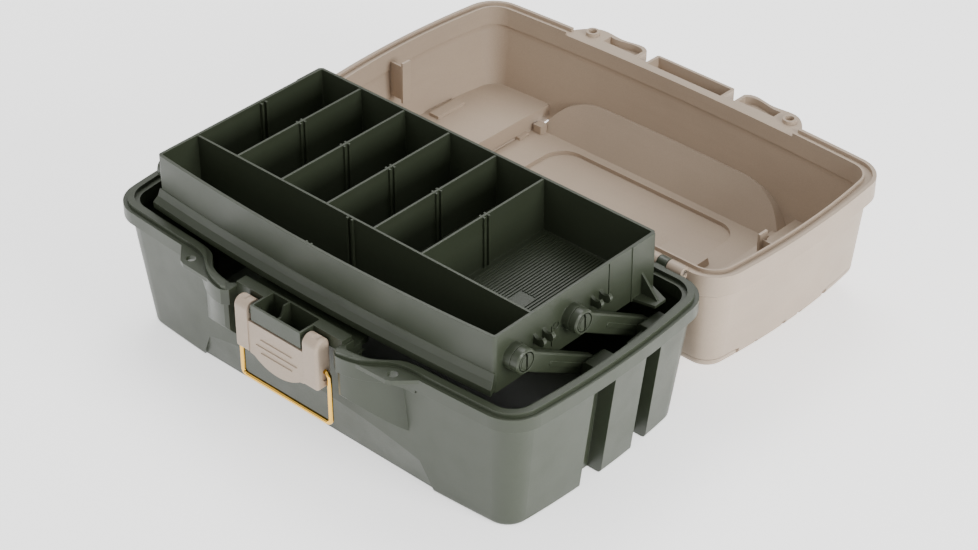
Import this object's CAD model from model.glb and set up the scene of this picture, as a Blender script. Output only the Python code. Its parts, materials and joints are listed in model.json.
import json
import math

import bpy
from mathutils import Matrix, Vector

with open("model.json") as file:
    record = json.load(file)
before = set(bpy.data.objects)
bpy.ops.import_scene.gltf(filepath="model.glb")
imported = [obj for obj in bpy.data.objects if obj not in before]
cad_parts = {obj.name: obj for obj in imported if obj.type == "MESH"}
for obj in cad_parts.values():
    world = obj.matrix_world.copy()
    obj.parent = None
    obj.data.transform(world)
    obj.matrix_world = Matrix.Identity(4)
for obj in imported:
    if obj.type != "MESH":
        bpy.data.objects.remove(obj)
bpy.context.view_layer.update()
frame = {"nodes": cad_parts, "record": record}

# ---- materials ---------------------------------------------------------------------------
GREEN = (0.033, 0.041, 0.024)
SAND = (0.40, 0.315, 0.238)
BRASS = (0.84, 0.50, 0.09)
BRASS_STAIN = (0.55, 0.33, 0.09)
STEEL = (0.60, 0.60, 0.58)
STEEL_STAIN = (0.42, 0.41, 0.39)
PLASTIC_IOR = 1.49
EDGE_RADIUS = 0.0004  # metres, how far the shading rounds a sharp edge


def node(tree, kind, x, y, **inputs):
    """Adds a shader node and sets the inputs given by name."""
    made = tree.nodes.new(kind)
    made.location = (x, y)
    for name, value in inputs.items():
        made.inputs[name.replace("_", " ")].default_value = value
    return made


def ramp(tree, source, x, y, low, high, out_low, out_high):
    """Maps a value between two limits onto another pair."""
    made = tree.nodes.new("ShaderNodeMapRange")
    made.location = (x, y)
    made.inputs["From Min"].default_value = low
    made.inputs["From Max"].default_value = high
    made.inputs["To Min"].default_value = out_low
    made.inputs["To Max"].default_value = out_high
    tree.links.new(source, made.inputs["Value"])
    return made.outputs["Result"]


def blend_colour(tree, factor, a, b, x, y):
    """Mixes two colours by a factor; a and b are colours or sockets."""
    made = tree.nodes.new("ShaderNodeMix")
    made.data_type = "RGBA"
    made.location = (x, y)
    tree.links.new(factor, made.inputs["Factor"])
    for value, socket in ((a, made.inputs[6]), (b, made.inputs[7])):
        if isinstance(value, tuple):
            socket.default_value = (*value, 1.0)
        else:
            tree.links.new(value, socket)
    return made.outputs[2]


def shade(colour, factor):
    """The colour made lighter or darker."""
    return tuple(min(1.0, channel * factor) for channel in colour)


def moulded_plastic(name, colour, roughness, grain, sheen_spread, edge_light):
    """Injection-moulded plastic: fine grain, slow colour drift, flow streaks and rubbed edges."""
    material = bpy.data.materials.new(name)
    material.use_nodes = True
    tree = material.node_tree
    tree.nodes.clear()
    output = node(tree, "ShaderNodeOutputMaterial", 900, 0)
    shader = node(tree, "ShaderNodeBsdfPrincipled", 600, 0, IOR=PLASTIC_IOR)
    tree.links.new(shader.outputs["BSDF"], output.inputs["Surface"])
    place = node(tree, "ShaderNodeTexCoord", -1400, 0)
    drift = node(tree, "ShaderNodeTexNoise", -1100, 300, Scale=9.0, Detail=3.0, Roughness=0.55)
    streaks_map = node(tree, "ShaderNodeMapping", -1250, 60, Scale=(6.0, 22.0, 60.0))
    streaks = node(tree, "ShaderNodeTexNoise", -1100, 60, Scale=1.0, Detail=4.0, Roughness=0.6)
    fine = node(tree, "ShaderNodeTexNoise", -1100, -200, Scale=1500.0, Detail=2.0, Roughness=0.6)
    patch = node(tree, "ShaderNodeTexNoise", -1100, -420, Scale=45.0, Detail=5.0, Roughness=0.6)
    scuffs = node(tree, "ShaderNodeTexNoise", -1100, -640, Scale=130.0, Detail=6.0, Roughness=0.7)
    tree.links.new(place.outputs["Object"], streaks_map.inputs["Vector"])
    tree.links.new(streaks_map.outputs["Vector"], streaks.inputs["Vector"])
    for noise in (drift, fine, patch, scuffs):
        tree.links.new(place.outputs["Object"], noise.inputs["Vector"])
    # rounded edges: the normal of a slightly filleted surface, and where it departs from the flat
    rounded = tree.nodes.new("ShaderNodeBevel")
    rounded.samples = 4
    rounded.inputs["Radius"].default_value = EDGE_RADIUS
    rounded.location = (-1100, -860)
    flat = node(tree, "ShaderNodeNewGeometry", -1100, -1040)
    facing = tree.nodes.new("ShaderNodeVectorMath")
    facing.operation = "DOT_PRODUCT"
    facing.location = (-900, -900)
    tree.links.new(rounded.outputs["Normal"], facing.inputs[0])
    tree.links.new(flat.outputs["Normal"], facing.inputs[1])
    edge = ramp(tree, facing.outputs["Value"], -700, -900, 0.995, 0.80, 0.0, 1.0)
    broken = tree.nodes.new("ShaderNodeMath")
    broken.operation = "MULTIPLY"
    broken.location = (-500, -820)
    tree.links.new(edge, broken.inputs[0])
    tree.links.new(
        ramp(tree, scuffs.outputs["Fac"], -700, -700, 0.35, 0.62, 0.25, 1.0), broken.inputs[1]
    )
    drifted = blend_colour(
        tree,
        ramp(tree, drift.outputs["Fac"], -850, 300, 0.30, 0.70, 0.0, 1.0),
        shade(colour, 0.93), shade(colour, 1.07), -600, 300,
    )
    streaked = blend_colour(
        tree,
        ramp(tree, streaks.outputs["Fac"], -850, 60, 0.45, 0.75, 0.0, 0.35),
        drifted, shade(colour, 1.14), -400, 200,
    )
    speckled = blend_colour(
        tree,
        ramp(tree, fine.outputs["Fac"], -850, -120, 0.40, 0.60, 0.0, 0.30),
        streaked, shade(colour, 0.80), -200, 120,
    )
    worn = blend_colour(tree, broken.outputs["Value"], speckled, shade(colour, edge_light), 0, 60)
    tree.links.new(worn, shader.inputs["Base Color"])
    tree.links.new(
        ramp(
            tree, patch.outputs["Fac"], -600, -420, 0.30, 0.70,
            roughness - sheen_spread, roughness + sheen_spread,
        ),
        shader.inputs["Roughness"],
    )
    shader.inputs["Specular IOR Level"].default_value = 0.5
    ripple = node(tree, "ShaderNodeBump", 150, -500, Strength=0.10, Distance=0.0006)
    tree.links.new(patch.outputs["Fac"], ripple.inputs["Height"])
    tree.links.new(rounded.outputs["Normal"], ripple.inputs["Normal"])
    skin = node(tree, "ShaderNodeBump", 350, -400, Strength=grain, Distance=0.0002)
    tree.links.new(fine.outputs["Fac"], skin.inputs["Height"])
    tree.links.new(ripple.outputs["Normal"], skin.inputs["Normal"])
    tree.links.new(skin.outputs["Normal"], shader.inputs["Normal"])
    return material


def metal(name, colour, roughness, stretch, tarnish):
    """Drawn or turned metal: fine lines, uneven gloss and a little tarnish."""
    material = bpy.data.materials.new(name)
    material.use_nodes = True
    tree = material.node_tree
    tree.nodes.clear()
    output = node(tree, "ShaderNodeOutputMaterial", 900, 0)
    shader = node(tree, "ShaderNodeBsdfPrincipled", 600, 0, Metallic=1.0)
    tree.links.new(shader.outputs["BSDF"], output.inputs["Surface"])
    place = node(tree, "ShaderNodeTexCoord", -1100, 0)
    lines_map = node(tree, "ShaderNodeMapping", -950, 100, Scale=stretch)
    lines = node(tree, "ShaderNodeTexNoise", -800, 100, Scale=1.0, Detail=3.0)
    cloud = node(tree, "ShaderNodeTexNoise", -800, -150, Scale=160.0, Detail=5.0, Roughness=0.65)
    tree.links.new(place.outputs["Object"], lines_map.inputs["Vector"])
    tree.links.new(lines_map.outputs["Vector"], lines.inputs["Vector"])
    tree.links.new(place.outputs["Object"], cloud.inputs["Vector"])
    stained = blend_colour(
        tree,
        ramp(tree, cloud.outputs["Fac"], -550, -50, 0.50, 0.78, 0.0, 0.55),
        colour, tarnish, -300, 0,
    )
    tree.links.new(stained, shader.inputs["Base Color"])
    tree.links.new(
        ramp(tree, cloud.outputs["Fac"], -550, -250, 0.3, 0.7, roughness * 0.7, roughness * 1.4),
        shader.inputs["Roughness"],
    )
    drawn = node(tree, "ShaderNodeBump", 200, -300, Strength=0.12, Distance=0.0001)
    tree.links.new(lines.outputs["Fac"], drawn.inputs["Height"])
    tree.links.new(drawn.outputs["Normal"], shader.inputs["Normal"])
    return material


green = moulded_plastic("green_plastic", GREEN, 0.38, 0.32, 0.06, 2.3)
sand = moulded_plastic("sand_plastic", SAND, 0.45, 0.22, 0.06, 1.25)
brass = metal("brass_wire", BRASS, 0.11, (700.0, 700.0, 60.0), BRASS_STAIN)
steel = metal("steel_pin", STEEL, 0.30, (900.0, 90.0, 900.0), STEEL_STAIN)
BY_SLOT = {
    "green_plastic": green, "sand_plastic": sand, "brass": brass, "steel": steel,
}
slot_of = {row["node"]: row["material_slot"] for row in frame["record"]["subparts"]}
for name, piece in frame["nodes"].items():
    piece.data.materials.clear()
    piece.data.materials.append(BY_SLOT[slot_of[name]])

# ---- floor, light and camera ---------------------------------------------------------------
FLOOR_HALF = 6.0
FLOOR_GLOW = 1.1  # keeps the floor pale under soft light
SKY_STRENGTH = 0.95
HORIZON = 0.42  # brightness of the sky low down, against 1 overhead

floor_mesh = bpy.data.meshes.new("floor")
floor_mesh.from_pydata(
    [
        (-FLOOR_HALF, -FLOOR_HALF, 0), (FLOOR_HALF, -FLOOR_HALF, 0),
        (FLOOR_HALF, FLOOR_HALF, 0), (-FLOOR_HALF, FLOOR_HALF, 0),
    ],
    [], [(0, 1, 2, 3)],
)
floor = bpy.data.objects.new("floor", floor_mesh)
bpy.context.scene.collection.objects.link(floor)
paper = bpy.data.materials.new("paper")
paper.use_nodes = True
paper_shader = paper.node_tree.nodes["Principled BSDF"]
paper_shader.inputs["Base Color"].default_value = (0.93, 0.93, 0.93, 1)
paper_shader.inputs["Roughness"].default_value = 0.9
paper_shader.inputs["Emission Color"].default_value = (1.0, 1.0, 1.0, 1)
paper_shader.inputs["Emission Strength"].default_value = FLOOR_GLOW
floor_mesh.materials.append(paper)

world = bpy.data.worlds.new("studio")
world.use_nodes = True
sky = world.node_tree.nodes["Background"]
sky.inputs["Strength"].default_value = SKY_STRENGTH
# bright overhead, dimmer towards the horizon, so that edges and wire catch a contrast
way_up = world.node_tree.nodes.new("ShaderNodeTexCoord")
split = world.node_tree.nodes.new("ShaderNodeSeparateXYZ")
world.node_tree.links.new(way_up.outputs["Generated"], split.inputs["Vector"])
world.node_tree.links.new(
    ramp(world.node_tree, split.outputs["Z"], 0, 0, 0.05, 0.75, HORIZON, 1.0), sky.inputs["Color"]
)
bpy.context.scene.world = world


def soft_box(name, place, aim, size, power):
    """A square area light that looks at a point."""
    lamp = bpy.data.lights.new(name, "AREA")
    lamp.shape = "SQUARE"
    lamp.size = size
    lamp.energy = power
    holder = bpy.data.objects.new(name, lamp)
    holder.location = place
    way = Vector(aim) - Vector(place)
    holder.rotation_euler = way.to_track_quat("-Z", "Y").to_euler()
    bpy.context.scene.collection.objects.link(holder)


MIDDLE = (0.0, 0.1, 0.08)
soft_box("key", (-0.7, 0.9, 2.0), MIDDLE, 1.2, 26)
soft_box("right", (2.2, 0.1, 0.9), MIDDLE, 0.9, 50)
soft_box("front", (-0.6, -2.2, 1.0), MIDDLE, 1.0, 6)

AZIMUTH = 42.33
ELEVATION = 35.42
DISTANCE = 1.581
TARGET = Vector((0.05583, 0.01824, 0.08695))
LENS = 93.23

lens = bpy.data.cameras.new("camera")
lens.sensor_width = 36.0
lens.lens = LENS
camera = bpy.data.objects.new("camera", lens)
side = math.radians(AZIMUTH)
rise = math.radians(ELEVATION)
away = Vector((math.sin(side) * math.cos(rise), -math.cos(side) * math.cos(rise), math.sin(rise)))
camera.location = TARGET + away * DISTANCE
camera.rotation_euler = (-away).to_track_quat("-Z", "Y").to_euler()
bpy.context.scene.collection.objects.link(camera)
bpy.context.scene.camera = camera

bpy.context.view_layer.update()
